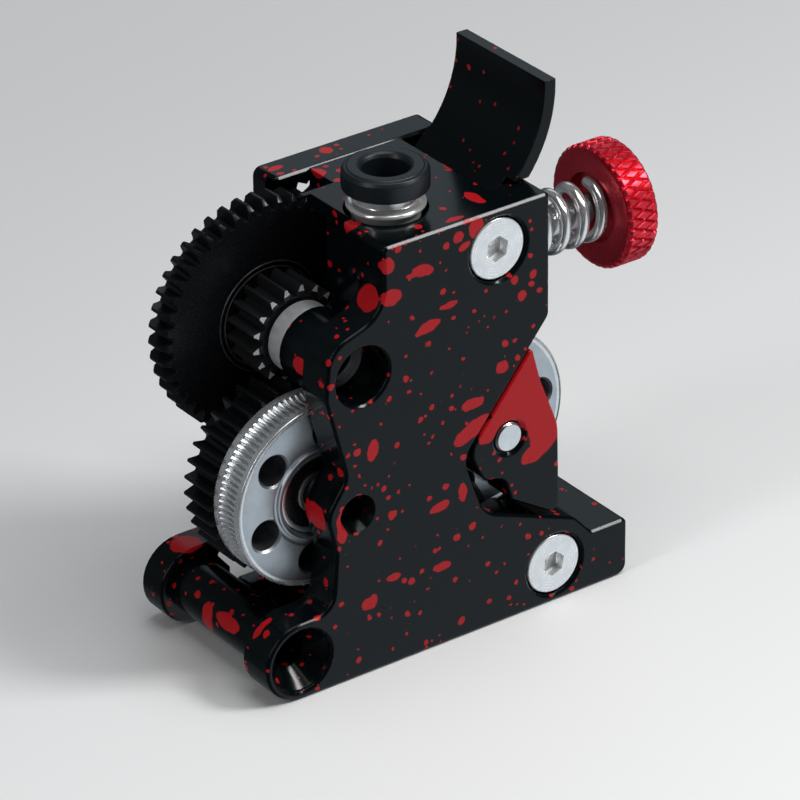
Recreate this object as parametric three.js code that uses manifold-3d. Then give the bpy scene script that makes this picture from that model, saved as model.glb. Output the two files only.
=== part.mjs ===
// Dual-gear filament extruder: a machined housing with a geared pair of hobbed wheels, a compound
// reduction gear, a hinged idler arm with a thumb tab, a knurled tension screw and a push-fit collet.
// Millimetres, +Z up. Before the last step, x = 0 is the filament's path, y = 0 is the front face and
// z = 0 is the underside; every wheel turns about an axis along Y.

import * as THREE from 'three';
import { mergeVertices } from 'three/addons/utils/BufferGeometryUtils.js';
import Module from 'manifold-3d';

const wasm = await Module();
wasm.setup();

// Driving dimensions
const HEIGHT = 42.66;            // underside to the housing's top face
const PLATE = 4.0;               // front plate thickness
const BODY_DEPTH = 17.0;         // front body, front face to the joint with the rear plate
const FOOT_TOP = 3.1;            // ledge to the left of the body, behind the plate
const FOOT_LEFT = -10.1;
const DEPTH = 20.4;              // whole housing
const GAP = 0.3;                 // between neighbouring pieces
const FIT = 0.05;                // radial clearance of a running fit
const EDGE = 0.25;               // chamfer of the housing's edges
const GEAR_MODULE = 0.5;
const PRESSURE_ANGLE = THREE.MathUtils.degToRad(20);
const BIG_TEETH = 44;
const PINION_TEETH = 17;
const DRIVE_TEETH = 36;          // drive and idler gears
const BACKLASH = 0.16;           // gap between working flanks

// Axes, as [x, z] in the front view
const COMPOUND = [-7.4, 30.69];
const DRIVE = [-9.4, 17.6];
const IDLER = [8.8, 19.04];
const MOTOR = [-0.3, 19.2];
const PIVOT = [14.0, 3.84];      // the lower screw, which the arm turns on
const UPPER = [7.57, 38.66];     // the upper screw
const BARREL = [-14.6, 3.9];     // the third screw's barrel
const KNOCK_OUT = [-8.27, 17.0]; // hole in the front plate in front of the drive shaft
const DOWEL_HOLE = [0.1, 40.1];  // through the rear plate, at the upper edge of the gear's pocket
const FEED_Y = 6.6;              // the filament's depth
const TENSION_Y = 9.6;           // the tension screw, along X
const TENSION_Z = 33.6;

// Hobbed wheels and their gears
const WHEEL_R = 9.05;
const WHEEL_FRONT = 4.05;
const WHEEL_WIDTH = 3.9;
const GEAR_FRONT = 8.0;
const GEAR_REAR = 12.1;
const PIN_R = 1.5;
const BEARING_R = 4.0;
const BEARING_WIDTH = 2.5;
const SMALL_BEARING_R = 3.0;     // on the compound gear's shaft
const SMALL_BEARING_FRONT = 6.6;
const REAR_SMALL_BEARING_WIDTH = 2;
const LIGHTENING_R = 1.7;
const LIGHTENING_PITCH_R = 6.4;
const PINION_FRONT = 10.3;
const BIG_FRONT = 14.6;
const BIG_REAR = 17.5;
const POCKET_REAR = 18.2;        // pocket for the big gear in the rear plate

// Idler arm
const ARM_FRONT = 4.3;
const ARM_REAR = 16.4;
const REAR_EAR_FRONT = 12.8;
const BAR_TOP = 43.3;
const BAR_INNER = 10.1;
const BAR_OUTER = 13.4;
const TAB_TOP = 51.9;            // the thumb tab curves about TAB_CENTRE
const TAB_CENTRE = [2.7, 51.5];
const TAB_INNER_R = 12.3;
const TAB_OUTER_R = 13.5;
const TAB_FRONT = 3.0;
const TAB_REAR = 16.2;
const TAB_SIDES = 80;

// Screws
const M3_R = 1.5;
const M3_HEAD_R = 3.0;
const M3_HOLE_R = 1.6;
const SCREW_END = 19.8;          // depth of the screws' tips
const HEX_ACROSS_FLATS = 2.0;

// Tension knob
const KNOB_R = 6.0;
const KNOB_INNER = 25.4;
const KNOB_WIDTH = 3.5;
const SPRING_R = 3.1;
const SPRING_WIRE = 1.1;

const WHEEL_SIDES = 36;
const FINE = 28;                 // sides of a turned piece
const COARSE = 18;               // sides of a small hole or pin

// Solids and meshes

function toSolid(source) {
  const geometry = source.clone();
  geometry.deleteAttribute('normal');
  geometry.deleteAttribute('uv');
  const merged = mergeVertices(geometry, 1e-5);
  const vertProperties = new Float32Array(merged.attributes.position.array);
  const triVerts = new Uint32Array(merged.index.array);
  return new wasm.Manifold(new wasm.Mesh({ numProp: 3, vertProperties, triVerts }));
}

function toGeometry(solid) {
  const mesh = solid.getMesh();
  const geometry = new THREE.BufferGeometry();
  geometry.setAttribute('position', new THREE.BufferAttribute(new Float32Array(mesh.vertProperties), 3));
  geometry.setIndex(new THREE.BufferAttribute(new Uint32Array(mesh.triVerts), 1));
  return geometry;
}

// A disc or round hole along Y, X or Z.
function discY([x, z], radius, y0, y1, sides = FINE) {
  const geometry = new THREE.CylinderGeometry(radius, radius, y1 - y0, sides);
  geometry.translate(x, (y0 + y1) / 2, z);
  return toSolid(geometry);
}

function discX([y, z], radius, x0, x1, sides = COARSE) {
  const geometry = new THREE.CylinderGeometry(radius, radius, x1 - x0, sides);
  geometry.rotateZ(-Math.PI / 2);
  geometry.translate((x0 + x1) / 2, y, z);
  return toSolid(geometry);
}

function discZ([x, y], radius, z0, z1, sides = COARSE) {
  const geometry = new THREE.CylinderGeometry(radius, radius, z1 - z0, sides);
  geometry.rotateX(Math.PI / 2);
  geometry.translate(x, y, (z0 + z1) / 2);
  return toSolid(geometry);
}

function block(x0, x1, y0, y1, z0, z1) {
  const geometry = new THREE.BoxGeometry(x1 - x0, y1 - y0, z1 - z0);
  geometry.translate((x0 + x1) / 2, (y0 + y1) / 2, (z0 + z1) / 2);
  return toSolid(geometry);
}

// A closed outline of straight sides with rounded corners. Each corner is [x, z, radius].
function roundedOutline(corners) {
  const shape = new THREE.Shape();
  corners.forEach(([x, z, radius], i) => {
    const corner = new THREE.Vector2(x, z);
    const before = new THREE.Vector2(...corners.at(i - 1).slice(0, 2)).sub(corner).normalize();
    const after = new THREE.Vector2(...corners[(i + 1) % corners.length].slice(0, 2)).sub(corner).normalize();
    const half = Math.acos(THREE.MathUtils.clamp(before.dot(after), -1, 1)) / 2;
    const reach = radius / Math.tan(half);
    const start = corner.clone().addScaledVector(before, reach);
    const end = corner.clone().addScaledVector(after, reach);
    const middle = before.clone().add(after).normalize().multiplyScalar(radius / Math.sin(half)).add(corner);
    const clockwise = before.x * after.y - before.y * after.x > 0;
    if (i === 0) {
      shape.moveTo(start.x, start.y);
    } else {
      shape.lineTo(start.x, start.y);
    }
    const from = Math.atan2(start.y - middle.y, start.x - middle.x);
    const to = Math.atan2(end.y - middle.y, end.x - middle.x);
    shape.absarc(middle.x, middle.y, radius, from, to, clockwise);
  });
  shape.closePath();
  return shape;
}

// A front-view shape given depth from y0 to y1, with its outer edges chamfered or square.
function slab(shape, y0, y1, chamfer = 0) {
  const geometry = new THREE.ExtrudeGeometry(shape, {
    depth: y1 - y0 - 2 * chamfer,
    curveSegments: 4,
    bevelEnabled: chamfer > 0,
    bevelThickness: chamfer,
    bevelSize: chamfer,
    bevelOffset: -chamfer,
    bevelSegments: 1,
  });
  geometry.rotateX(Math.PI / 2);
  geometry.translate(0, y1 - chamfer, 0);
  return toSolid(geometry);
}

// The chamfer round a hole's mouth in the front face.
function mouth([x, z], radius, chamfer) {
  const cone = turned([[0, -0.1], [radius + chamfer + 0.1, -0.1], [radius, chamfer], [0, chamfer]]);
  cone.translate(x, 0, z);
  return toSolid(cone);
}

// A turned piece about Y; the profile is [radius, y] points and closes on itself or ends on the axis.
function turned(profile, sides = FINE) {
  return new THREE.LatheGeometry(profile.map(([r, y]) => new THREE.Vector2(r, y)), sides);
}

function turnedRing(profile, sides = FINE) {
  return turned([...profile, profile[0]], sides);
}

// Gears

function involute(angle) {
  return Math.tan(angle) - angle;
}

function gearShape(teeth, phase) {
  const pitchR = GEAR_MODULE * teeth / 2;
  const baseR = pitchR * Math.cos(PRESSURE_ANGLE);
  const tipR = pitchR + GEAR_MODULE;
  const rootR = pitchR - 1.25 * GEAR_MODULE;
  const halfPitch = Math.PI / (2 * teeth) - BACKLASH / (4 * pitchR);
  const halfAt = (r) => {
    const flank = Math.acos(Math.min(1, baseR / r));
    return halfPitch + involute(PRESSURE_ANGLE) - involute(flank);
  };
  const startR = Math.max(baseR, rootR + 0.1);
  const radii = [startR, tipR];
  const points = [];
  for (let tooth = 0; tooth < teeth; tooth += 1) {
    const middle = phase + tooth * 2 * Math.PI / teeth;
    const place = (r, angle) => points.push(new THREE.Vector2(r * Math.cos(angle), r * Math.sin(angle)));
    place(rootR, middle - halfAt(startR) - 0.1 / pitchR);
    radii.forEach((r) => place(r, middle - halfAt(r)));
    [...radii].reverse().forEach((r) => place(r, middle + halfAt(r)));
    place(rootR, middle + halfAt(startR) + 0.1 / pitchR);
  }
  return new THREE.Shape(points);
}

function gearSolid(teeth, phase, y0, y1) {
  return slab(gearShape(teeth, phase), y0, y1);
}

function directionTo(a, b) {
  return Math.atan2(b[1] - a[1], b[0] - a[0]);
}

// The phase that puts gear B in mesh with gear A, whose tooth stands at phaseA.
function meshPhase(axisA, teethA, phaseA, axisB, teethB) {
  const line = directionTo(axisA, axisB);
  const pitchA = 2 * Math.PI / teethA;
  const offset = (((phaseA - line) % pitchA) + pitchA) % pitchA;
  const along = offset * teethA / 2 + Math.PI / 2;
  return line + Math.PI - along * 2 / teethB;
}

const drivePhase = directionTo(DRIVE, COMPOUND);
const pinionPhase = meshPhase(DRIVE, DRIVE_TEETH, drivePhase, COMPOUND, PINION_TEETH);
const idlerPhase = meshPhase(DRIVE, DRIVE_TEETH, drivePhase, IDLER, DRIVE_TEETH);

// Housing

const plateOutline = roundedOutline([
  [-5.0, HEIGHT, 0.5],
  [-5.0, 36.2, 3.25],
  [-11.0, 34.27, 3],
  [-11.46, 29.4, 3],
  [-9.3, 20.9, 2],
  [-11.6, 17.6, 2.6],
  [-10.6, 13.6, 1.5],
  [-11.1, 2 * BARREL[1], 2],
  [BARREL[0] - BARREL[1], 2 * BARREL[1], BARREL[1] - 0.02],
  [BARREL[0] - BARREL[1], 0, BARREL[1] - 0.02],
  [22.5, 0, 1],
  [22.5, 5.9, 0.6],
  [18.25, 5.9, 0.4],
  [16.3, 8.1, 2.6],
  [5.9, 12.1, 3],
  [3.7, 18.6, 2.5],
  [13.3, 30.2, 1],
  [13.3, HEIGHT, 0.5],
]);

// Countersunk hole for an M3 screw from the front face.
function countersink([x, z]) {
  const mouthR = 3.2;
  const end = DEPTH + 0.1;
  const cone = turned([
    [0, -0.1], [mouthR, -0.1], [mouthR, 0.5], [M3_HOLE_R, 2.35], [M3_HOLE_R, end], [0, end],
  ], COARSE);
  cone.translate(x, 0, z);
  return toSolid(cone);
}

// A hole through the front plate with a conical mouth.
function knockOut() {
  const cone = turned([[0, -0.1], [1.95, -0.1], [1.95, 0], [1.3, 1.1], [1.3, PLATE + 1], [0, PLATE + 1]], COARSE);
  cone.translate(KNOCK_OUT[0], 0, KNOCK_OUT[1]);
  return toSolid(cone);
}

// The space the idler arm needs behind the front plate, closed and open.
const armBay = roundedOutline([
  [4.3, 15.4, 1.5],
  [4.3, 22.4, 2.5],
  [9.3, 29.3, 0.6],
  [30, 29.3, 1],
  [30, 5.9, 0.1],
  [18.25, 5.9, 0.4],
  [17.7, 0.55, 3],
  [10.6, 0.55, 3],
  [10.3, 8.3, 1.5],
  [7.4, 13.3, 1.5],
]);

// The milled recess in the left flank, in front of the big gear.
function leftRecess() {
  const radius = 5.3;
  const front = 4.2;
  const foot = 33.1;
  const top = 41.3;
  const collet = -3.9;
  const rear = 13.4;
  const round = discX([front + radius, foot + radius], radius, -6, collet, FINE);
  const above = block(-6, collet, front, front + radius, foot + radius, top);
  const behind = block(-6, collet, front + radius - 0.1, rear, foot, top);
  return round.add(above).add(behind).add(block(-6, -1.2, 10.4, rear, foot, top));
}

function frontBody() {
  let body = slab(plateOutline, 0, PLATE, EDGE);
  const inner = roundedOutline([
    [-5.0, HEIGHT, 0.4], [-5.0, FOOT_TOP, 0.3], [FOOT_LEFT, FOOT_TOP, 0.3], [FOOT_LEFT, 0, 0.3],
    [22.5, 0, 1], [22.5, 5.9, 0.6], [9.65, 5.9, 0.4], [9.65, HEIGHT, 0.4],
  ]);
  const bay = slab(armBay, PLATE - 1, BODY_DEPTH + 1);
  body = body.add(slab(inner, PLATE - 0.5, BODY_DEPTH).subtract(bay));
  body = body.add(discY(COMPOUND, 3.7, PLATE - 0.5, 7.7));
  body = body.add(discY(BARREL, 2.7, PLATE - 0.5, BODY_DEPTH));
  // Bays for the wheels, the gears and the arm
  const cuts = [
    discY(DRIVE, WHEEL_R + 0.35, WHEEL_FRONT - GAP, GEAR_FRONT, WHEEL_SIDES),
    discY(DRIVE, 9.9, GEAR_FRONT - 0.1, 12.7, WHEEL_SIDES),
    discY(IDLER, WHEEL_R + 0.35, WHEEL_FRONT - GAP, GEAR_FRONT, WHEEL_SIDES),
    discY(IDLER, 9.9, GEAR_FRONT - 0.1, 12.7, WHEEL_SIDES),
    leftRecess(),
    discY(COMPOUND, 5.4, 9.6, 14),
    discY(COMPOUND, 12.1, 13.3, BODY_DEPTH + 1, WHEEL_SIDES),
    block(-6, -1.0, 13.3, BODY_DEPTH + 1, 36, HEIGHT + 1),
    // Slots across the foot, and the step beside the arm's slot
    block(FOOT_LEFT - 1, -5.6, 13.3, 15.2, 1.2, FOOT_TOP + 1),
    block(FOOT_LEFT - 1, -5.6, 11.7, 12.9, 1.2, FOOT_TOP + 1),
    block(9.1, 10.2, PLATE - 0.5, BODY_DEPTH + 1, 40.8, HEIGHT + 1),
    discY(MOTOR, 5.0, 12.7, BODY_DEPTH + 1),
    // Compound gear's front bearing and its bore
    discY(COMPOUND, 2.85, -1, SMALL_BEARING_FRONT),
    mouth(COMPOUND, 2.85, EDGE),
    discY(COMPOUND, SMALL_BEARING_R + FIT, SMALL_BEARING_FRONT - 0.05, 9.6),
    knockOut(),
    ...[PIVOT, UPPER, BARREL].flatMap((axis) => [countersink(axis), mouth(axis, 3.2, EDGE)]),
    // Filament passage, collet socket and tube seats
    discZ([0, FEED_Y], 3.85, HEIGHT - 1.6, HEIGHT + 1, FINE),
    discZ([0, FEED_Y], 3.2, 36.0, HEIGHT),
    discZ([0, FEED_Y], 2.05, 27.6, 36.1),
    discZ([0, FEED_Y], 1.1, -1, 28),
    discZ([0, FEED_Y], 2.05, -1, 7.0),
    // Threaded hole for the tension screw
    discX([TENSION_Y, TENSION_Z], M3_R + FIT, 3.8, 12),
  ];
  cuts.forEach((cut) => { body = body.subtract(cut); });
  return body;
}

const rearOutline = roundedOutline([
  [-5.0, HEIGHT, 0.8],
  [-5.1, 34.6, 1.6],
  [-11.4, 34.4, 3.4],
  [-11.4, 28.4, 3],
  [-10.6, 22.4, 3],
  [-11.0, 18.0, 3],
  [-11.0, 2 * BARREL[1], 0.8],
  [BARREL[0] - BARREL[1], 2 * BARREL[1], BARREL[1] - 0.02],
  [BARREL[0] - BARREL[1], 0, BARREL[1] - 0.02],
  [BARREL[0] + BARREL[1], 0, BARREL[1] - 0.02],
  [BARREL[0] + BARREL[1], 4.3, 0.3],
  [-12.3, 6.3, 0.3],
  [-5.2, 6.3, 0.8],
  [-5.2, 0, 0.4],
  [22.5, 0, 1],
  [22.5, 5.9, 0.6],
  [18.6, 8.2, 2.6],
  [16.8, 16, 4],
  [13.9, 30, 2],
  [13.9, HEIGHT, 0.8],
]);

function rearPlate() {
  let plate = slab(rearOutline, BODY_DEPTH + 0.05, DEPTH, EDGE);
  const cuts = [
    discY(COMPOUND, 12.1, BODY_DEPTH - 1, POCKET_REAR, WHEEL_SIDES),
    discY(COMPOUND, SMALL_BEARING_R + FIT, POCKET_REAR - 0.1, DEPTH + 1),
    discY(MOTOR, 5.0, BODY_DEPTH - 1, DEPTH + 1),
    discY(DRIVE, PIN_R + FIT, BODY_DEPTH - 1, DEPTH + 1, COARSE),
    discY(PIVOT, M3_R + FIT, BODY_DEPTH - 1, DEPTH + 1, COARSE),
    discY(UPPER, M3_R + FIT, BODY_DEPTH - 1, DEPTH + 1, COARSE),
    discY(BARREL, M3_HOLE_R, BODY_DEPTH - 1, DEPTH + 1, COARSE),
    discY(DOWEL_HOLE, 1.7, BODY_DEPTH - 1, DEPTH + 1, COARSE),
  ];
  cuts.forEach((cut) => { plate = plate.subtract(cut); });
  return plate;
}

// Countersunk screw with a hexagon socket, pointing along +Y from the front face.
function countersunkScrew(length) {
  const top = 0.2;
  const socketDepth = 1.2;
  const socketR = HEX_ACROSS_FLATS / Math.sqrt(3);
  const profile = [
    [0, top], [M3_HEAD_R, top], [M3_HEAD_R, top + 0.25], [M3_R, top + 1.75], [M3_R, length], [0, length],
  ];
  const socket = new THREE.CylinderGeometry(socketR, socketR, 2 * socketDepth, 6);
  return toSolid(turned(profile, COARSE)).subtract(toSolid(socket));
}

// Rotating parts, each about its own axis with y as in the housing

function ballBearing(outerR, innerR, width) {
  const raceR = innerR + (outerR - innerR) * 0.3;
  const recess = 0.2;
  return turnedRing([
    [innerR, 0], [raceR, 0], [raceR, recess], [outerR, recess], [outerR, width], [innerR, width],
  ], COARSE);
}

// Steel feed wheel: smooth front and rear bands with the hobbed groove between them, a thin web with
// six lightening holes, and a hub that holds a bearing.
function hobbedWheel(holePhase) {
  const bore = BEARING_R + FIT;
  const dish = 0.25;
  const dishR = 8.7;
  const grooveDepth = 0.55;
  const groove = [];
  for (let i = 0; i <= 4; i += 1) {
    const t = i / 4;
    groove.push([WHEEL_R - 0.05 - grooveDepth * Math.sin(Math.PI * t), 0.75 + t * 2.55]);
  }
  const profile = [
    [bore, 0.4], [4.35, 0.4], [4.5, dish], [dishR, dish], [dishR + 0.2, 0], [WHEEL_R, 0],
    [WHEEL_R, 0.7], ...groove, [WHEEL_R, 3.35], [WHEEL_R, WHEEL_WIDTH], [bore, WHEEL_WIDTH],
  ];
  let wheel = toSolid(turnedRing(profile, WHEEL_SIDES));
  for (let i = 0; i < 6; i += 1) {
    const angle = holePhase + i * Math.PI / 3;
    const at = [LIGHTENING_PITCH_R * Math.cos(angle), LIGHTENING_PITCH_R * Math.sin(angle)];
    wheel = wheel.subtract(discY(at, LIGHTENING_R, -1, WHEEL_WIDTH + 1, 16));
  }
  return wheel;
}

function feedGear(phase) {
  const width = GEAR_REAR - GEAR_FRONT;
  let gear = gearSolid(DRIVE_TEETH, phase, 0, width);
  gear = gear.subtract(discY([0, 0], PIN_R + 0.3, -1, width + 1));
  return gear.subtract(discY([0, 0], BEARING_R + FIT, width - BEARING_WIDTH - 0.1, width + 1));
}

function bigGear() {
  const width = BIG_REAR - BIG_FRONT;
  const tipR = GEAR_MODULE * (BIG_TEETH + 2) / 2;
  const blankR = tipR + 0.05;
  const chamfer = 0.5;
  const blank = toSolid(turned([
    [0, 0], [blankR - chamfer, 0], [blankR, chamfer], [blankR, width - chamfer], [blankR - chamfer, width], [0, width],
  ], 2 * WHEEL_SIDES));
  let gear = gearSolid(BIG_TEETH, 0, 0, width).intersect(blank);
  const groove = toSolid(turnedRing([[4.9, -1], [5.3, -1], [5.3, 0.25], [4.9, 0.25]]));
  gear = gear.subtract(groove);
  return gear.subtract(discY([0, 0], PIN_R + FIT, -1, width + 1));
}

function pinion() {
  const length = BIG_FRONT - PINION_FRONT - 0.05;
  const bore = discY([0, 0], PIN_R + FIT, -1, length + 1);
  return gearSolid(PINION_TEETH, pinionPhase, 0, length).subtract(bore);
}

// A plain pin with chamfered ends, from y0 to y1.
function dowel(radius, y0, y1) {
  const chamfer = 0.25;
  return turned([
    [0, y0], [radius - chamfer, y0], [radius, y0 + chamfer],
    [radius, y1 - chamfer], [radius - chamfer, y1], [0, y1],
  ], COARSE);
}

// Idler arm

const frontEarOutline = roundedOutline([
  [11.35, 27.6, 0.3],
  [4.25, 19.03, 2.0],
  [5.8, 15.6, 1.5],
  [8.3, 14.9, 1.2],
  [9.0, 12.5, 0.5],
  [13.5, 9.7, 0.4],
  [14.5, 9.9, 0.6],
  [14.35, 18.6, 5],
  [12.35, 23.8, 4],
]);

const rearEarOutline = roundedOutline([
  [BAR_INNER, BAR_TOP, 0.4],
  [BAR_INNER, 29.6, 3],
  [5.6, 21.6, 2.5],
  [5.6, 16.4, 2],
  [8.4, 13.4, 1.5],
  [11.1, 8.8, 2],
  [11.1, 0.95, 2.85],
  [16.9, 0.95, 2.85],
  [17.2, 9.5, 3],
  [15.6, 20, 6],
  [BAR_OUTER, 29.5, 4],
  [BAR_OUTER, BAR_TOP, 0.4],
]);

function thumbTab() {
  const blade = discY(TAB_CENTRE, TAB_OUTER_R, TAB_FRONT, TAB_REAR, TAB_SIDES);
  const overhang = block(BAR_INNER, 20, TAB_FRONT, TAB_REAR, BAR_TOP - 0.3, TAB_TOP);
  const fillet = roundedOutline([
    [11.0, 41.5, 0.1], [BAR_OUTER, 41.5, 0.1], [BAR_OUTER, 42.6, 1.5], [14.4, 44.6, 0.5], [12.4, 44.6, 0.5],
  ]);
  const root = slab(fillet, ARM_FRONT, TAB_REAR);
  const hollow = discY(TAB_CENTRE, TAB_INNER_R, 0, DEPTH, TAB_SIDES);
  return blade.intersect(overhang).add(root).subtract(hollow);
}

function idlerArm() {
  let arm = slab(rearEarOutline, REAR_EAR_FRONT, ARM_REAR);
  const bar = block(BAR_INNER, BAR_OUTER, ARM_FRONT, ARM_REAR, 29.4, BAR_TOP);
  arm = arm.add(bar).subtract(discY(TAB_CENTRE, TAB_INNER_R, 0, DEPTH, TAB_SIDES));
  const bridge = roundedOutline([
    [11.1, 0.95, 2.85], [16.9, 0.95, 2.85], [17.2, 9.5, 2], [15.2, 12.6, 1], [10.4, 11.8, 0.8],
  ]);
  arm = arm.add(slab(bridge, ARM_FRONT, ARM_REAR));
  const web = roundedOutline([
    [11.6, 11.0, 0.2], [13.5, 9.8, 0.3], [14.4, 10.0, 0.4], [14.4, 13.0, 0.3], [11.6, 13.0, 0.3],
  ]);
  arm = arm.add(slab(frontEarOutline, 0, WHEEL_FRONT - GAP, 0.18));
  arm = arm.add(slab(web, 3, ARM_FRONT + 0.5));
  arm = arm.subtract(discY(IDLER, WHEEL_R + 0.3, WHEEL_FRONT - GAP, GEAR_FRONT, WHEEL_SIDES));
  arm = arm.subtract(discY(IDLER, 9.8, GEAR_FRONT - 0.1, REAR_EAR_FRONT, WHEEL_SIDES));
  arm = arm.add(thumbTab());
  arm = arm.subtract(discY(PIVOT, M3_R + FIT, 0, DEPTH));
  arm = arm.subtract(discY(IDLER, PIN_R + FIT, -1, DEPTH, COARSE));
  arm = arm.subtract(mouth(IDLER, PIN_R + FIT, 0.4));
  return arm.subtract(discX([TENSION_Y, TENSION_Z], 2.2, 8, 15));
}

// Push-fit collet, about the filament's path

function colletBody() {
  return turnedRing([
    [2.85, 38.0], [2.1, 38.0], [2.1, 36.3], [3.15, 36.3], [3.15, 42.9], [3.65, 43.05], [3.65, 43.6], [3.45, 43.8],
    [3.0, 43.8], [3.0, 44.5], [2.85, 44.5],
  ]);
}

function colletCap() {
  return turnedRing([
    [2.4, 41.2], [2.7, 41.2], [2.7, 45.6], [3.2, 45.6], [3.2, 44.7], [3.85, 44.7], [4.0, 44.85], [4.0, 46.4],
    [3.75, 46.86], [2.8, 46.86], [2.4, 46.4],
  ]);
}

function colletJaws() {
  return turnedRing([[2.05, 40.0], [2.6, 40.0], [2.75, 40.3], [2.6, 41.1], [2.05, 41.1]], COARSE);
}

function colletSeal() {
  const profile = [];
  for (let i = 0; i < 8; i += 1) {
    const angle = i * Math.PI / 4;
    profile.push([2.4 + 0.38 * Math.cos(angle), 38.5 + 0.38 * Math.sin(angle)]);
  }
  return turnedRing(profile, COARSE);
}

function tubeLiner(z0, z1) {
  return turnedRing([[1.0, z0], [2.0, z0], [2.0, z1], [1.0, z1]], COARSE);
}

// Tension screw, about X: x from the knob's screw end to the threaded hole

function thumbKnob() {
  const recess = KNOB_INNER + 0.8;
  const outer = KNOB_INNER + KNOB_WIDTH;
  return turnedRing([
    [M3_R + FIT, recess], [3.4, recess], [3.4, KNOB_INNER], [KNOB_R - 0.4, KNOB_INNER],
    [KNOB_R, KNOB_INNER + 0.4], [KNOB_R, outer - 0.4], [KNOB_R - 0.4, outer], [M3_R + FIT, outer],
  ], WHEEL_SIDES);
}

function springSleeve() {
  const start = BAR_OUTER + GAP;
  const end = KNOB_INNER + 0.8 - GAP;
  const inner = SPRING_R - SPRING_WIRE;
  return turnedRing([[inner, start], [SPRING_R, start], [SPRING_R, end], [inner, end]], COARSE);
}

// Materials

const finish = (color, roughness, metalness = 1) => (
  () => new THREE.MeshStandardMaterial({ color, roughness, metalness })
);
const blackAnodised = finish(0x20252b, 0.38, 0.6);
const redAnodised = finish(0xb8203a, 0.35, 0.8);
const satinSteel = finish(0xb9bcbf, 0.3);
const polishedSteel = finish(0xdadcde, 0.15);
const blackSteel = finish(0x15171a, 0.45, 0.6);
const darkPlastic = finish(0x2b3037, 0.55, 0);
const whitePlastic = finish(0xe9e9e4, 0.5, 0);
const blackRubber = finish(0x101010, 0.8, 0);

// Assembly

const assembly = new THREE.Group();

function add(name, shape, material, [x, z] = [0, 0], y = 0) {
  const geometry = shape.isBufferGeometry ? shape : toGeometry(shape);
  geometry.deleteAttribute('uv');
  const mesh = new THREE.Mesh(geometry, material());
  mesh.name = name;
  mesh.position.set(x, y, z);
  assembly.add(mesh);
  return mesh;
}

add('front_body', frontBody(), blackAnodised);
add('rear_plate', rearPlate(), blackAnodised);
add('upper_screw', countersunkScrew(SCREW_END), polishedSteel, UPPER);
add('lower_screw', countersunkScrew(SCREW_END), polishedSteel, PIVOT);

// Both feed wheels are built alike: a hobbed wheel and a gear that turn together on two ball bearings.
[
  { name: 'drive', axis: DRIVE, gearPhase: drivePhase, holePhase: THREE.MathUtils.degToRad(141.5) },
  { name: 'idler', axis: IDLER, gearPhase: idlerPhase, holePhase: THREE.MathUtils.degToRad(6) },
].forEach(({ name, axis, gearPhase, holePhase }) => {
  const bearing = () => ballBearing(BEARING_R, PIN_R + FIT, BEARING_WIDTH);
  add(`${name}_hob_wheel`, hobbedWheel(holePhase), satinSteel, axis, WHEEL_FRONT);
  add(`${name}_gear`, feedGear(gearPhase), blackSteel, axis, GEAR_FRONT);
  add(`${name}_front_bearing`, bearing(), polishedSteel, axis, WHEEL_FRONT + 0.6);
  add(`${name}_rear_bearing`, bearing(), polishedSteel, axis, GEAR_REAR - BEARING_WIDTH);
});
add('drive_shaft', dowel(PIN_R, WHEEL_FRONT + 0.9, DEPTH - 0.2), satinSteel, DRIVE);
add('idler_pin', dowel(PIN_R, 0.05, ARM_REAR - 0.1), polishedSteel, IDLER);
add('idler_arm', idlerArm(), blackAnodised);

const frontSmallBearing = ballBearing(SMALL_BEARING_R, PIN_R + FIT, BEARING_WIDTH);
const rearSmallBearing = ballBearing(SMALL_BEARING_R, PIN_R + FIT, REAR_SMALL_BEARING_WIDTH);
add('big_gear', bigGear(), blackSteel, COMPOUND, BIG_FRONT);
add('pinion', pinion(), blackSteel, COMPOUND, PINION_FRONT);
add('compound_shaft', dowel(PIN_R, SMALL_BEARING_FRONT - 0.2, DEPTH - 0.3), polishedSteel, COMPOUND);
add('compound_front_bearing', frontSmallBearing, polishedSteel, COMPOUND, SMALL_BEARING_FRONT);
add('compound_rear_bearing', rearSmallBearing, polishedSteel, COMPOUND, POCKET_REAR + 0.05);

function addUpright(name, geometry, material) {
  const mesh = add(name, geometry, material, [0, 0], FEED_Y);
  mesh.rotation.x = Math.PI / 2;
}

addUpright('collet_body', colletBody(), polishedSteel);
addUpright('collet_seal', colletSeal(), blackRubber);
addUpright('collet_cap', colletCap(), darkPlastic);
addUpright('collet_jaws', colletJaws(), satinSteel);
addUpright('inlet_liner', tubeLiner(27.7, 35.9), whitePlastic);
addUpright('outlet_liner', tubeLiner(0.1, 6.9), whitePlastic);

function addSideways(name, geometry, material) {
  const mesh = add(name, geometry, material, [0, TENSION_Z], TENSION_Y);
  mesh.rotation.z = -Math.PI / 2;
}

addSideways('tension_spring', springSleeve(), polishedSteel);
addSideways('tension_screw', dowel(M3_R, 4.8, KNOB_INNER + KNOB_WIDTH - 0.3), polishedSteel);
addSideways('thumb_knob', thumbKnob(), redAnodised);

// The origin is under the middle of the whole object, on the underside.
assembly.updateMatrixWorld(true);
const box = new THREE.Box3().setFromObject(assembly, true);
const middle = box.getCenter(new THREE.Vector3());
assembly.position.set(-middle.x, -middle.y, -box.min.z);

const group = new THREE.Group();
group.add(assembly);

export default group;
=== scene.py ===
"""Looks for the extruder gear assembly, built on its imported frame.

Blender's own values are metres. Profiles, points of meshes and shader coordinates are millimetres:
solid(), keep() and Shader scale them.
"""

import math

import bmesh
import bpy
from mathutils import Matrix, Vector

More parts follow.
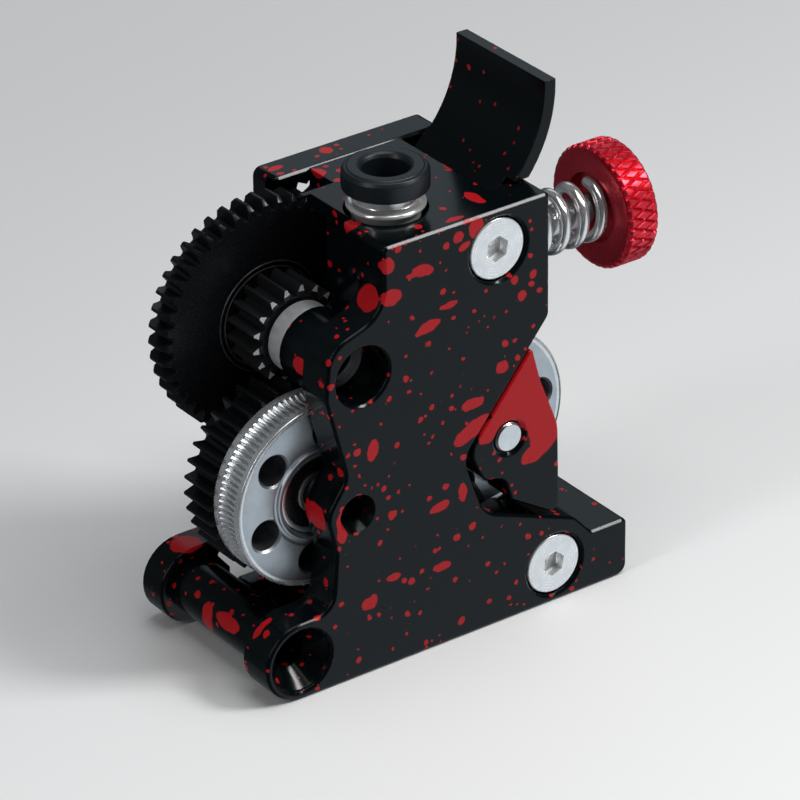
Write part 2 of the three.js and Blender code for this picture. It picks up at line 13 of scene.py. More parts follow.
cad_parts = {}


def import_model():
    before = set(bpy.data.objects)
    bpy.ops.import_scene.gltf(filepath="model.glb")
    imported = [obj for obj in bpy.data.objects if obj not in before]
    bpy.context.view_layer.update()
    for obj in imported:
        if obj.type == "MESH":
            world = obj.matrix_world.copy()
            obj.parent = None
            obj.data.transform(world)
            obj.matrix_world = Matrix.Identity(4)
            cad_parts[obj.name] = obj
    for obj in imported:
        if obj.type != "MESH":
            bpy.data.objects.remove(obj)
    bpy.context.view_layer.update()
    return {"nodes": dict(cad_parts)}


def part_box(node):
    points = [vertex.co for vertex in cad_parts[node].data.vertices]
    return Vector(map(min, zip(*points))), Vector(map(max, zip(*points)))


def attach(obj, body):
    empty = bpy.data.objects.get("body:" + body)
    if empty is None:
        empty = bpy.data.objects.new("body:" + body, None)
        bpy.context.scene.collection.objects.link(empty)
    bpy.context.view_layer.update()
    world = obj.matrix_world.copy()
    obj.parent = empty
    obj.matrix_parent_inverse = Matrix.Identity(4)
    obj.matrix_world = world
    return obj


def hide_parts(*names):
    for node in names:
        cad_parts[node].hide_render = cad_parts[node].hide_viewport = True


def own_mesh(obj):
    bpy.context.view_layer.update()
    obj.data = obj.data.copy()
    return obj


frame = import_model()

MM = 0.001
TAU = 2 * math.pi
M3_R = 1.5
NODES = frame["nodes"]


def middle(node):
    """Centre of a CAD node's box."""
    lowest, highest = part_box(node)
    return (lowest + highest) / 2


def low(node, axis):
    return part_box(node)[0][axis]


def high(node, axis):
    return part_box(node)[1][axis]


def length_mm(node, axis):
    return (high(node, axis) - low(node, axis)) / MM


def front_of(node):
    """Centre of the box's front face, where a piece about the Y axis starts."""
    return Vector((middle(node).x, low(node, 1), middle(node).z))


def left_of(node):
    """Centre of the box's left face, where a piece about the X axis starts."""
    return Vector((low(node, 0), middle(node).y, middle(node).z))


# ---------------------------------------------------------------------------------------------
# Shaders
# ---------------------------------------------------------------------------------------------


class Shader:
    """A material and short calls for its nodes. Coordinates are object coordinates in millimetres."""

    def __init__(self, name, **sockets):
        self.material = bpy.data.materials.new(name)
        self.material.use_nodes = True
        self.tree = self.material.node_tree
        self.bsdf = self.tree.nodes["Principled BSDF"]
        coordinates = self.node("ShaderNodeTexCoord")
        self.mm = self.vector("SCALE", coordinates.outputs["Object"], scale=1000)
        for socket, value in sockets.items():
            self.bsdf.inputs[socket.replace("_", " ")].default_value = value

    def node(self, kind, inputs=None, **settings):
        made = self.tree.nodes.new(kind)
        for key, value in settings.items():
            setattr(made, key, value)
        for socket, value in (inputs or {}).items():
            self.put(made.inputs[socket], value)
        return made

    def put(self, socket, value):
        if isinstance(value, bpy.types.NodeSocket):
            self.tree.links.new(value, socket)
        else:
            socket.default_value = value

    def math(self, operation, a, b=0.0):
        return self.node("ShaderNodeMath", {0: a, 1: b}, operation=operation).outputs[0]

    def vector(self, operation, a, b=(0, 0, 0), scale=1.0):
        made = self.node("ShaderNodeVectorMath", {0: a, 1: b, 3: scale}, operation=operation)
        return made.outputs["Value" if operation == "LENGTH" else "Vector"]

    def hypotenuse(self, a, b):
        return self.math("SQRT", self.math("ADD", self.math("POWER", a, 2.0), self.math("POWER", b, 2.0)))

    def xyz(self, vector):
        return self.node("ShaderNodeSeparateXYZ", {0: vector}).outputs

    def ramp(self, value, from_low, from_high, to_low=0.0, to_high=1.0, smooth=False):
        kind = "SMOOTHSTEP" if smooth else "LINEAR"
        inputs = {"Value": value, 1: from_low, 2: from_high, 3: to_low, 4: to_high}
        return self.node("ShaderNodeMapRange", inputs, interpolation_type=kind, clamp=True).outputs[0]

    def noise(self, scale, detail, at=None):
        inputs = {"Vector": at or self.mm, "Scale": scale, "Detail": detail}
        return self.node("ShaderNodeTexNoise", inputs).outputs

    def mix(self, factor, a, b):
        inputs = {"Factor": factor, 6: a, 7: b}
        return self.node("ShaderNodeMix", inputs, data_type="RGBA").outputs[2]

    def bump(self, height, strength, distance_mm, normal=None):
        """Fine relief on the surface, on top of another normal if one is given."""
        inputs = {"Height": height, "Strength": strength, "Distance": distance_mm * MM}
        made = self.node("ShaderNodeBump", inputs)
        if normal is not None:
            self.put(made.inputs["Normal"], normal)
        self.put(self.bsdf.inputs["Normal"], made.outputs[0])

    def set(self, **sockets):
        for socket, value in sockets.items():
            self.put(self.bsdf.inputs[socket.replace("_", " ")], value)


# Larger splashes of paint, in millimetres: centre, then half sizes along X, Y and Z, then a lean in
# the XZ plane, in degrees. Those of the idler arm's front ear lie above its pin and on both sides of it.
EAR_SPLASHES = [
    ((6.6, -10.2, 24.8), (2.6, 1.2, 3.2), 0), ((4.6, -10.2, 22.8), (3.2, 1.2, 2.2), 40),
    ((7.9, -10.2, 20.0), (2.0, 1.2, 3.9), -8), ((6.6, -10.2, 16.6), (1.6, 1.2, 0.9), 15),
    ((1.6, -10.2, 20.6), (1.6, 1.2, 1.0), 45), ((6.2, -10.2, 21.2), (1.5, 1.2, 2.2), 0),
]
SPLASHES = [
    # Front plate
    ((-0.6, -10.2, 21.3), (2.2, 0.8, 0.85), 25),
    ((-9.6, -10.2, 40.8), (0.6, 1.1, 0.8), 0), ((-9.2, -10.2, 37.6), (1.1, 1.0, 0.8), 0),
    ((-10.2, -8.2, 36.4), (0.9, 1.5, 2.0), 0), ((-10.0, -8.2, 34.2), (0.9, 1.2, 0.5), 0),
    ((-5.8, -10.2, 39.2), (1.2, 0.5, 0.6), -15), ((-7.0, -10.2, 39.1), (0.6, 0.5, 0.25), 0),
    ((-5.3, -10.2, 33.4), (1.4, 0.5, 0.55), 15), ((-3.0, -10.2, 34.9), (0.9, 0.5, 0.35), 0),
    ((0.1, -10.2, 41.6), (0.9, 1.2, 1.0), 0), ((-1.2, -10.2, 40.2), (0.65, 0.5, 0.4), 25),
    ((-0.4, -10.2, 24.0), (1.3, 0.5, 0.6), 0), ((2.9, -10.2, 26.7), (0.7, 0.5, 0.65), 20),
    ((-11.5, -10.2, 23.0), (0.6, 0.5, 1.1), -15), ((-15.0, -10.2, 16.3), (0.6, 1.0, 1.7), 0),
    ((-16.0, -7.8, 16.8), (1.6, 1.8, 1.3), 0), ((-12.2, -10.2, 7.3), (0.9, 0.5, 0.7), 0),
    ((-9.4, -10.2, 9.1), (0.8, 0.5, 0.4), 0), ((-4.0, -10.2, 8.3), (1.0, 0.5, 0.45), 0),
    ((-9.5, -10.2, 15.6), (0.5, 0.5, 0.5), 0), ((-1.6, -10.2, 15.2), (0.5, 0.5, 0.9), 0),
    ((-4.2, -10.2, 14.6), (1.1, 0.5, 0.5), 10), ((5.2, -10.2, 33.2), (0.5, 0.5, 0.5), 0),
    # Top face, beside the tab and round the collet
    ((4.6, -0.6, 42.7), (0.7, 1.2, 0.5), 0), ((2.3, -7.0, 42.7), (0.6, 1.4, 0.5), 0),
    ((-9.6, -4.3, 42.7), (0.7, 1.1, 0.9), 0), ((-7.5, -4.6, 42.7), (1.6, 0.35, 0.4), 0),
    ((-1.6, -9.3, 42.7), (1.0, 0.35, 0.4), 0), ((-0.9, -10.4, 42.7), (0.7, 0.4, 0.4), 0),
    ((-6.3, 5.6, 42.7), (1.2, 0.9, 0.5), 0), ((-8.4, 8.7, 42.7), (0.8, 0.4, 0.5), 0),
    # Barrel, its two ends, and the boss
    ((-20.0, 8.0, 8.4), (1.9, 1.8, 1.2), 0), ((-22.1, 1.2, 3.9), (0.6, 0.9, 1.7), 0),
    ((-22.1, -1.8, 4.9), (0.6, 1.8, 0.8), 0), ((-21.8, -7.2, 6.2), (1.0, 0.4, 2.6), 0),
    ((-16.0, -5.5, 31.0), (0.6, 0.9, 0.9), 0), ((-15.8, -9.3, 30.9), (0.6, 0.7, 0.9), 0),
    # Thumb tab
    ((4.9, -4.9, 45.3), (1.0, 0.8, 0.9), 0), ((9.6, -5.6, 49.9), (0.5, 0.5, 0.9), 0),
]


def splash(s, at, centre, size, lean):
    """1 inside an ellipsoid, 0 outside."""
    inputs = {"Vector": at, "Location": centre, "Rotation": (0, -math.radians(lean), 0), "Scale": size}
    inside = s.node("ShaderNodeMapping", inputs, vector_type="TEXTURE").outputs[0]
    return s.ramp(s.vector("LENGTH", inside), 0.97, 1.03, 1, 0)


def splatter_mask(s, splashes):
    """Red paint: 1 where it is. Splashes at their places, and small flecks everywhere at random.

    The flecks are crowded in places, and sparse on the thumb tab.
    """
    wobble = s.vector("SUBTRACT", s.noise(0.9, 2)["Color"], (0.5, 0.5, 0.5))
    at = s.vector("ADD", s.mm, s.vector("SCALE", wobble, scale=0.55))
    crowd = s.ramp(s.noise(0.16, 1, s.vector("ADD", s.mm, (31, 7, 15)))["Fac"], 0.36, 0.62)
    top_face, tab = 43.2, 44.5
    sparse = s.ramp(s.xyz(s.mm)[2], top_face, tab, 1.0, 0.3)

    def flecks(cell, smallest, largest, shift, share):
        """Round flecks, at most one to a cell of this size. The share of cells that have one is 0 to 1."""
        inputs = {"Vector": at, "Location": shift, "Rotation": (0.4, 0.2, 0.7), "Scale": [1 / cell] * 3}
        scaled = s.node("ShaderNodeMapping", inputs).outputs[0]
        cells = s.node("ShaderNodeTexVoronoi", {"Vector": scaled, "Scale": 1.0})
        chance = s.xyz(cells.outputs["Color"])
        size = s.ramp(s.math("POWER", chance[0], 2.5), 0, 1, smallest / cell, largest / cell)
        shown = s.math("LESS_THAN", chance[1], s.math("MULTIPLY", share, sparse))
        radius = s.math("MULTIPLY", size, shown)
        return s.ramp(s.math("SUBTRACT", radius, cells.outputs["Distance"]), -0.004, 0.02)

    crowded = s.ramp(crowd, 0, 1, 0.45, 1.0)
    total = flecks(1.3, 0.12, 0.34, (3, 1, 5), crowded)
    total = s.math("MAXIMUM", total, flecks(1.6, 0.18, 0.44, (13, 4, 2), crowded))
    total = s.math("MAXIMUM", total, flecks(3.4, 0.2, 0.75, (1, 6, 2), s.math("MULTIPLY", crowded, 0.45)))
    for centre, size, lean in splashes:
        total = s.math("MAXIMUM", total, splash(s, at, centre, size, lean))
    return total


def black_anodised(name, splashes):
    """Black with red paint on it. The rounded normals catch the light along the edges."""
    s = Shader(name, Metallic=0.0, IOR=1.3)
    red = splatter_mask(s, splashes)
    grain = s.noise(9, 3)["Fac"]
    cloud = s.noise(0.25, 2)["Fac"]
    black = s.mix(cloud, (0.0008, 0.0022, 0.0028, 1), (0.0014, 0.0032, 0.0040, 1))
    paint = s.mix(grain, (0.35, 0.004, 0.007, 1), (0.43, 0.006, 0.010, 1))
    s.set(Base_Color=s.mix(red, black, paint))
    rough = s.math("ADD", s.ramp(grain, 0.3, 0.7, 0.14, 0.2), s.math("MULTIPLY", red, 0.12))
    s.set(Roughness=rough)
    edge_radius_mm = 0.16
    edges = s.node("ShaderNodeBevel", {"Radius": edge_radius_mm * MM}, samples=6).outputs[0]
    s.bump(s.noise(14, 2)["Fac"], 0.05, 0.02, edges)
    return s.material


def turned_steel(name, colour, roughness, along, anisotropic, rings, metallic=1.0, relief=0.02):
    """Metal cut on a lathe: fine rings about the piece's own axis, and a little variation in gloss."""
    s = Shader(name, Metallic=metallic, Anisotropic=anisotropic)
    tangent = s.node("ShaderNodeTangent", direction_type="RADIAL", axis=along)
    s.put(s.bsdf.inputs["Tangent"], tangent.outputs[0])
    x, y, z = s.xyz(s.mm)
    radius = s.hypotenuse(*{"X": (y, z), "Y": (x, z), "Z": (x, y)}[along])
    inputs = {"W": s.math("MULTIPLY", radius, rings), "Scale": 1.0, "Detail": 3.0}
    lines = s.node("ShaderNodeTexNoise", inputs, noise_dimensions="1D").outputs[0]
    patches = s.noise(0.8, 3)["Fac"]
    dark = [c * 0.86 for c in colour] + [1]
    s.set(Base_Color=s.mix(s.ramp(patches, 0.3, 0.7), dark, list(colour) + [1]))
    s.set(Roughness=s.math("ADD", s.ramp(lines, 0.3, 0.7, roughness - 0.03, roughness + 0.03),
                           s.ramp(patches, 0.3, 0.7, -0.02, 0.03)))
    s.bump(lines, relief, 0.01)
    return s.material


def polished_steel():
    s = Shader("polished_steel", Metallic=0.8)
    patches = s.noise(1.3, 4)["Fac"]
    s.set(Base_Color=s.mix(patches, (0.78, 0.785, 0.79, 1), (0.9, 0.9, 0.9, 1)))
    s.set(Roughness=s.ramp(patches, 0.3, 0.7, 0.1, 0.18))
    s.bump(s.noise(5, 3)["Fac"], 0.04, 0.02)
    return s.material


def black_steel(name, bare_ends=False):
    """Black oxide on cut steel. On the pinion the front faces of the teeth are bare, and the rest is painted
    lighter: painted light where the boss shades the pinion's hub.
    """
    s = Shader(name, Metallic=0.0, IOR=1.3)
    grain = s.noise(7, 4)["Fac"]
    colour = s.mix(grain, (0.003, 0.0034, 0.0042, 1), (0.007, 0.0076, 0.009, 1))
    rough = s.ramp(grain, 0.3, 0.7, 0.22, 0.32)
    if bare_ends:
        bare_from_radius = 4.15
        facing = s.xyz(s.node("ShaderNodeNewGeometry").outputs["True Normal"])[1]
        centre = middle("pinion") / MM
        x, _, z = s.xyz(s.vector("SUBTRACT", s.mm, centre))
        outside = s.math("GREATER_THAN", s.hypotenuse(x, z), bare_from_radius)
        bare = s.math("MULTIPLY", s.math("LESS_THAN", facing, -0.6), outside)
        # A lighter grey than the other black steel: painted light on the pinion, where the boss shades its
        # hub.
        colour = s.mix(bare, (0.05, 0.053, 0.057, 1), (0.9, 0.91, 0.92, 1))
        s.set(Metallic=s.math("SUBTRACT", 0.8, s.math("MULTIPLY", bare, 0.5)))
        rough = s.ramp(grain, 0.3, 0.7, 0.26, 0.34)
    s.set(Base_Color=colour, Roughness=rough)
    s.bump(s.noise(11, 3)["Fac"], 0.03, 0.02)
    return s.material


def red_anodised():
    s = Shader("red_anodised", Metallic=0.7)
    grain = s.noise(8, 3)["Fac"]
    s.set(Base_Color=s.mix(grain, (0.62, 0.02, 0.04, 1), (0.74, 0.032, 0.06, 1)))
    s.set(Roughness=s.ramp(grain, 0.3, 0.7, 0.24, 0.34))
    s.bump(s.noise(12, 3)["Fac"], 0.05, 0.02)
    return s.material


def dark_plastic():
    s = Shader("dark_plastic", IOR=1.42)
    grain = s.noise(16, 3)["Fac"]
    s.set(Base_Color=s.mix(grain, (0.004, 0.0065, 0.0095, 1), (0.008, 0.012, 0.0165, 1)))
    s.set(Roughness=s.ramp(grain, 0.3, 0.7, 0.32, 0.44))
    s.bump(grain, 0.12, 0.02)
    return s.material


def plain(name, dark, light, roughness, **sockets):
    """A moulded surface between two close colours."""
    s = Shader(name, **sockets)
    grain = s.noise(6, 3)["Fac"]
    s.set(Base_Color=s.mix(grain, dark + (1,), light + (1,)))
    s.set(Roughness=s.ramp(grain, 0.3, 0.7, roughness - 0.06, roughness + 0.06))
    s.bump(grain, 0.1, 0.02)
    return s.material


MATERIALS = {
    "black_anodised": black_anodised("black_anodised", SPLASHES),
    "ear_anodised": black_anodised("ear_anodised", EAR_SPLASHES),
    "red_anodised": red_anodised(),
    "polished_steel": polished_steel(),
    "black_steel": black_steel("black_steel"),
    "pinion_steel": black_steel("pinion_steel", bare_ends=True),
    "dark_plastic": dark_plastic(),
    "black_rubber": plain("black_rubber", (0.008, 0.008, 0.008), (0.014, 0.014, 0.014), 0.7),
    "white_plastic": plain("white_plastic", (0.76, 0.76, 0.73), (0.84, 0.84, 0.82), 0.45,
                           Subsurface_Weight=0.1),
}

# Steels cut on a lathe: colour, roughness, axis, anisotropy, rings per millimetre, metallic, relief
TURNED_STEELS = {
    "wheel_steel": ((0.84, 0.86, 0.88), 0.24, "Y", 0.2, 12, 0.8, 0.003),
    # The web's steel is a darker copy of the rim's wheel steel: painted shade where the housing shades the
    # web.
    "web_steel": ((0.56, 0.59, 0.62), 0.4, "Y", 0.2, 3, 0.97, 0.005),
    "screw_steel": ((0.93, 0.93, 0.93), 0.24, "Y", 0.2, 10, 0.7),
    "bearing_steel": ((0.82, 0.83, 0.84), 0.34, "Y", 0.2, 9, 0.9),
    "collar_steel": ((0.9, 0.91, 0.92), 0.42, "Y", 0.0, 3, 0.8, 0.0),
    # Dark steel for the large gear's rings, and on the drive shaft as painted shade.
    "ring_steel": ((0.14, 0.145, 0.15), 0.3, "Y", 0.1, 9, 0.8),
    "pin_steel": ((0.80, 0.80, 0.81), 0.18, "Y", 0.3, 9),
    "rod_steel": ((0.66, 0.66, 0.67), 0.22, "X", 0.2, 9, 0.9),
    "collet_steel": ((0.93, 0.93, 0.92), 0.2, "Z", 0.0, 5, 0.7, 0.005),
}
for steel, values in TURNED_STEELS.items():
    MATERIALS[steel] = turned_steel(steel, *values)

# ---------------------------------------------------------------------------------------------
# Meshes
# ---------------------------------------------------------------------------------------------


def shade(mesh, angle=32):
    """Smooth shading, with the edges sharper than angle kept sharp."""
    bm = bmesh.new()
    bm.from_mesh(mesh)
    limit = math.radians(angle)
    for edge in bm.edges:
        edge.smooth = len(edge.link_faces) == 2 and edge.calc_face_angle(0) < limit
    for face in bm.faces:
        face.smooth = True
    bm.to_mesh(mesh)
    bm.free()


def solid(name, points, faces):
    """A mesh from points in millimetres, with doubled points merged and its normals outwards."""
    mesh = bpy.data.meshes.new(name)
    mesh.from_pydata([Vector(p) * MM for p in points], [], faces)
    bm = bmesh.new()
    bm.from_mesh(mesh)
    bmesh.ops.remove_doubles(bm, verts=bm.verts, dist=1e-7)
    bmesh.ops.dissolve_degenerate(bm, edges=bm.edges, dist=1e-8)
    bmesh.ops.recalc_face_normals(bm, faces=bm.faces)
    bm.to_mesh(mesh)
    bm.free()
    return mesh


def make(name, points, faces, at, body, node, material, slot, angle=32):
    """A new piece about at. It rides on a body, and stands for its CAD node if it has one."""
    mesh = solid(name, points, faces)
    shade(mesh, angle)
    mesh.materials.append(MATERIALS[material])
    piece = bpy.data.objects.new(name, mesh)
    bpy.context.scene.collection.objects.link(piece)
    piece.location = at
    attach(piece, body)
    if node:
        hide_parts(node)
    return piece


def place(axis, radius, angle, along):
    """A point at radius and angle about an axis through the piece's own origin."""
    a, b = radius * math.cos(angle), radius * math.sin(angle)
    return {"X": (along, a, b), "Y": (a, along, b), "Z": (a, b, along)}[axis]


def grid(columns, rows, point, closed_rows):
    """Points and quads of a surface that closes on itself round its columns."""
    points = [point(i, j) for i in range(columns) for j in range(rows)]
    faces = []
    for i in range(columns):
        for j in range(rows if closed_rows else rows - 1):
            k = (j + 1) % rows
            n = (i + 1) % columns
            faces.append((i * rows + j, n * rows + j, n * rows + k, i * rows + k))
    return points, faces


def lathe(profile, axis="Y", sides=96):
    """A turned solid. The profile is (radius, along) points and closes on itself or ends on the axis."""
    open_ended = profile[0][0] == 0

    def point(i, j):
        radius, along = profile[j]
        return place(axis, radius, i * TAU / sides, along)

    return grid(sides, len(profile), point, not open_ended)


def rounded(profile, radius=0.12, steps=3, closed=True):
    """The same profile with its corners rounded."""
    made = []
    count = len(profile)
    for i, corner in enumerate(profile):
        if not closed and i in (0, count - 1):
            made.append(corner)
            continue
        p = Vector(corner)
        before = Vector(profile[i - 1]) - p
        after = Vector(profile[(i + 1) % count]) - p
        reach = min(radius, before.length * 0.45, after.length * 0.45)
        start = p + before.normalized() * reach
        end = p + after.normalized() * reach
        for k in range(steps + 1):
            t = k / steps
            q = start.lerp(p, t).lerp(p.lerp(end, t), t)
            made.append((q.x, q.y))
    return made


def join(*parts):
    """Several (points, faces) as one."""
    points, faces = [], []
    for part_points, part_faces in parts:
        start = len(points)
        points += part_points
        faces += [tuple(start + k for k in face) for face in part_faces]
    return points, faces


def cut(piece, cutters):
    """Takes closed (points, faces) solids, in millimetres about the piece's origin, out of the piece."""
    for number, (points, faces) in enumerate(cutters):
        mesh = solid("cutter", points, faces)
        tool = bpy.data.objects.new("cutter", mesh)
        bpy.context.scene.collection.objects.link(tool)
        tool.matrix_world = piece.matrix_world
        modifier = piece.modifiers.new(f"cut_{number}", "BOOLEAN")
        modifier.operation = "DIFFERENCE"
        modifier.solver = "EXACT"
        modifier.object = tool
        bpy.context.view_layer.update()
        depsgraph = bpy.context.evaluated_depsgraph_get()
        result = bpy.data.meshes.new_from_object(piece.evaluated_get(depsgraph))
        piece.modifiers.clear()
        old = piece.data
        piece.data = result
        bpy.data.meshes.remove(old)
        bpy.data.objects.remove(tool)
        bpy.data.meshes.remove(mesh)


def smooth_group():
    """Geometry nodes that smooth a mesh except at edges sharper than an angle."""
    group = bpy.data.node_groups.new("smooth_by_angle", "GeometryNodeTree")
    group.interface.new_socket("Geometry", in_out="INPUT", socket_type="NodeSocketGeometry")
    limit = group.interface.new_socket("Angle", in_out="INPUT", socket_type="NodeSocketFloat")
    limit.default_value = math.radians(30)
    group.interface.new_socket("Geometry", in_out="OUTPUT", socket_type="NodeSocketGeometry")
    n, link = group.nodes, group.links
    start = n.new("NodeGroupInput")
    end = n.new("NodeGroupOutput")
    faces = n.new("GeometryNodeSetShadeSmooth")
    edges = n.new("GeometryNodeSetShadeSmooth")
    edges.domain = "EDGE"
    angle = n.new("GeometryNodeInputMeshEdgeAngle")
    test = n.new("FunctionNodeCompare")
    test.operation = "GREATER_THAN"
    faces.inputs["Shade Smooth"].default_value = True
    edges.inputs["Shade Smooth"].default_value = False
    link.new(start.outputs["Geometry"], faces.inputs[0])
    link.new(faces.outputs[0], edges.inputs[0])
    link.new(angle.outputs["Unsigned Angle"], test.inputs[0])
    link.new(start.outputs["Angle"], test.inputs[1])
    link.new(test.outputs[0], edges.inputs["Selection"])
    link.new(edges.outputs[0], end.inputs[0])
    return group


SMOOTH = smooth_group()


def keep(node, material, width_mm, angle=32):
    """A CAD node that stays, with its own material and rounded edges where they are sharper than angle."""
    piece = NODES[node]
    weld = piece.modifiers.new("weld", "WELD")
    weld.merge_threshold = 1e-6
    flat = piece.modifiers.new("flat", "DECIMATE")
    flat.decimate_type = "DISSOLVE"
    coplanar_degrees = 0.6
    flat.angle_limit = math.radians(coplanar_degrees)
    edges = piece.modifiers.new("edges", "BEVEL")
    edges.width = width_mm * MM
    edges.segments = 2
    edges.limit_method = "ANGLE"
    edges.angle_limit = math.radians(angle)
    edges.miter_outer = "MITER_ARC"
    smooth = piece.modifiers.new("smooth", "NODES")
    smooth.node_group = SMOOTH
    normals = piece.modifiers.new("normals", "WEIGHTED_NORMAL")
    normals.keep_sharp = True
    piece.data.materials.clear()
    piece.data.materials.append(MATERIALS[material])


# ---------------------------------------------------------------------------------------------
# Housing, arm and gears
# ---------------------------------------------------------------------------------------------

keep("front_body", "black_anodised", 0.08)
keep("rear_plate", "black_anodised", 0.08)
keep("idler_arm", "ear_anodised", 0.24)
keep("big_gear", "black_steel", 0.06)
keep("drive_gear", "black_steel", 0.06)
keep("idler_gear", "black_steel", 0.06)
keep("pinion", "pinion_steel", 0.05)
keep("inlet_liner", "white_plastic", 0.06)
keep("outlet_liner", "white_plastic", 0.06)
keep("collet_seal", "black_rubber", 0.02, angle=60)

# ---------------------------------------------------------------------------------------------
# Hobbed wheels
# ---------------------------------------------------------------------------------------------

FEED_TEETH = 92
WHEEL_R = 9.05
WHEEL_WIDTH = 3.9
RIM_INNER_R = 8.5
WEB_FACE = 0.12
WEB_HOLES = 6
WEB_HOLE_R = 1.7
WEB_HOLE_CIRCLE_R = 6.4
BEARING_SEAT_R = 4.05
BEARING_BORE_R = 1.55


def hobbed_rim(name, body):
    """Rim with a hollow band of rounded feed teeth between two plain edges."""
    points_per_tooth = 8
    columns = FEED_TEETH * points_per_tooth
    band_from, band_to, band_rows = 0.62, 3.2, 14
    step, hollow, tooth_depth, tooth_sharpness = 0.03, 0.42, 0.36, 0.55
    edges = rounded([
        (WHEEL_R, band_to + 0.02), (WHEEL_R, WHEEL_WIDTH), (RIM_INNER_R, WHEEL_WIDTH),
        (RIM_INNER_R, 0.1), (8.82, 0.1), (8.9, 0.0), (WHEEL_R, 0.12), (WHEEL_R, band_from - 0.02),
    ], 0.06, 2)

    def point(i, j):
        angle = i * TAU / columns
        if j < len(edges):
            return place("Y", edges[j][0], angle, edges[j][1])
        across = (j - len(edges)) / (band_rows - 1)
        arch = math.sin(math.pi * across)
        gap = 1 - abs(math.sin(FEED_TEETH * angle / 2)) ** tooth_sharpness
        return place("Y", WHEEL_R - step - hollow * arch - tooth_depth * gap, angle,
                     band_from + across * (band_to - band_from))

    rim = grid(columns, len(edges) + band_rows, point, True)
    make(name + "_rim", *rim, front_of(name), body, name, "wheel_steel", "satin_steel", 40)


def hobbed_web(name, body, first_hole):
    """Web with a hub, a turned ring round it and six chamfered holes, the first at an angle from +X."""
    outer = RIM_INNER_R + 0.05
    profile = rounded([
        (BEARING_SEAT_R, 0.3), (4.3, 0.3), (4.38, WEB_FACE), (4.62, WEB_FACE), (4.7, 0.34), (5.0, 0.34),
        (5.15, WEB_FACE), (outer, WEB_FACE), (outer, WHEEL_WIDTH - 0.5), (BEARING_SEAT_R, WHEEL_WIDTH - 0.3),
    ], 0.05, 2)
    # The web's darker steel is painted shade.
    web = make(name + "_web", *lathe(profile, sides=128), front_of(name), body, None, "web_steel",
               "satin_steel")
    chamfer = 0.2
    radius = WEB_HOLE_R - chamfer
    margin = 1
    points, faces = lathe([
        (0, -margin), (radius + chamfer + margin, -margin), (radius + chamfer, WEB_FACE),
        (radius, WEB_FACE + chamfer), (radius, WHEEL_WIDTH + margin), (0, WHEEL_WIDTH + margin),
    ], sides=48)
    holes = []
    for k in range(WEB_HOLES):
        centre = Vector(place("Y", WEB_HOLE_CIRCLE_R, first_hole + k * TAU / WEB_HOLES, 0))
        holes.append(([tuple(Vector(p) + centre) for p in points], faces))
    cut(web, holes)
    shade(web.data)


def hobbed_wheel(name, body, first_hole):
    """Rim and web. The rim stands for the CAD node."""
    hobbed_rim(name, body)
    hobbed_web(name, body, first_hole)


hobbed_wheel("drive_hob_wheel", "drive_wheel", math.radians(141.5))
hobbed_wheel("idler_hob_wheel", "idler_wheel", math.radians(6))


def ball_bearing(name, body, outer, width):
    """Inner and outer ring as one piece, recessed between them, with a dark shield in the front recess."""
    at = front_of(name)
    inner = BEARING_BORE_R
    recess = 0.22
    ring = (outer - inner) * 0.2
    inner_ring, outer_ring = inner + ring, outer - ring
    rings = rounded([
        (inner, 0), (inner_ring, 0), (inner_ring, recess), (outer_ring, recess), (outer_ring, 0),
        (outer, 0), (outer, width), (outer_ring, width), (outer_ring, width - recess),
        (inner_ring, width - recess), (inner_ring, width), (inner, width),
    ], 0.09, 2)
    overlap = 0.05
    shield = rounded([(inner_ring - overlap, 0.16), (outer_ring + overlap, 0.16),
                      (outer_ring + overlap, 0.3), (inner_ring - overlap, 0.3)], 0.03, 2)
    make(name + "_shield", *lathe(shield, sides=72), at, body, None, "black_steel", "bearing_steel")
    make(name + "_rings", *lathe(rings, sides=72), at, body, name, "bearing_steel", "bearing_steel")


for wheel, body in (("drive", "drive_wheel"), ("idler", "idler_wheel")):
    for end in ("front", "rear"):
        ball_bearing(f"{wheel}_{end}_bearing", body, 4.0, 2.5)
ball_bearing("compound_front_bearing", "housing", 3.0, 2.5)
ball_bearing("compound_rear_bearing", "housing", 3.0, 2.0)


def boss_trim():
    """A collar round the front bearing, behind the boss, and snap-ring grooves inside the boss's hole.

    Both profiles run back from the housing's front face.
    """
    bearing = "compound_front_bearing"
    at = Vector((middle(bearing).x, low("front_body", 1), middle(bearing).z))
    bore, radius, lip = 1.75, 3.42, 3.1
    start, step, end = 7.78, 9.7, 9.9
    collar = rounded([(bore, start), (radius, start), (radius, end), (lip, end), (lip, step), (bore, step)],
                     0.1, 3)
    make(bearing + "_collar", *lathe(collar, sides=96), at, "housing", None, "collar_steel", "bearing_steel")
    wall, ridge, groove = 2.84, 2.72, 2.8
    spacing = 0.45
    grooves = [(wall, 4.1), (wall, 5.6)]
    for k in range(3):
        y = 5.5 - spacing * k
        grooves += [(ridge, y), (ridge, y - 0.22), (groove, y - 0.3), (groove, y - 0.4)]
    grooves = rounded(grooves, 0.05, 1)
    make(bearing + "_grooves", *lathe(grooves, sides=72), at, "housing", None, "bearing_steel",
         "bearing_steel")


def big_gear_rings():
    """Two thin turned rings that stand a little proud of the large gear's front face."""
    wire, sunk, sides = 0.07, 0.02, 10
    for number, radius in enumerate((4.85, 5.35)):
        bead = []
        for k in range(sides):
            angle = k * TAU / sides
            bead.append((radius + wire * math.cos(angle), -sunk + wire * math.sin(angle)))
        make(f"big_gear_ring_{number}", *lathe(bead, sides=128), front_of("big_gear"), "compound_gear", None,
             "ring_steel", "black_steel")


boss_trim()
big_gear_rings()


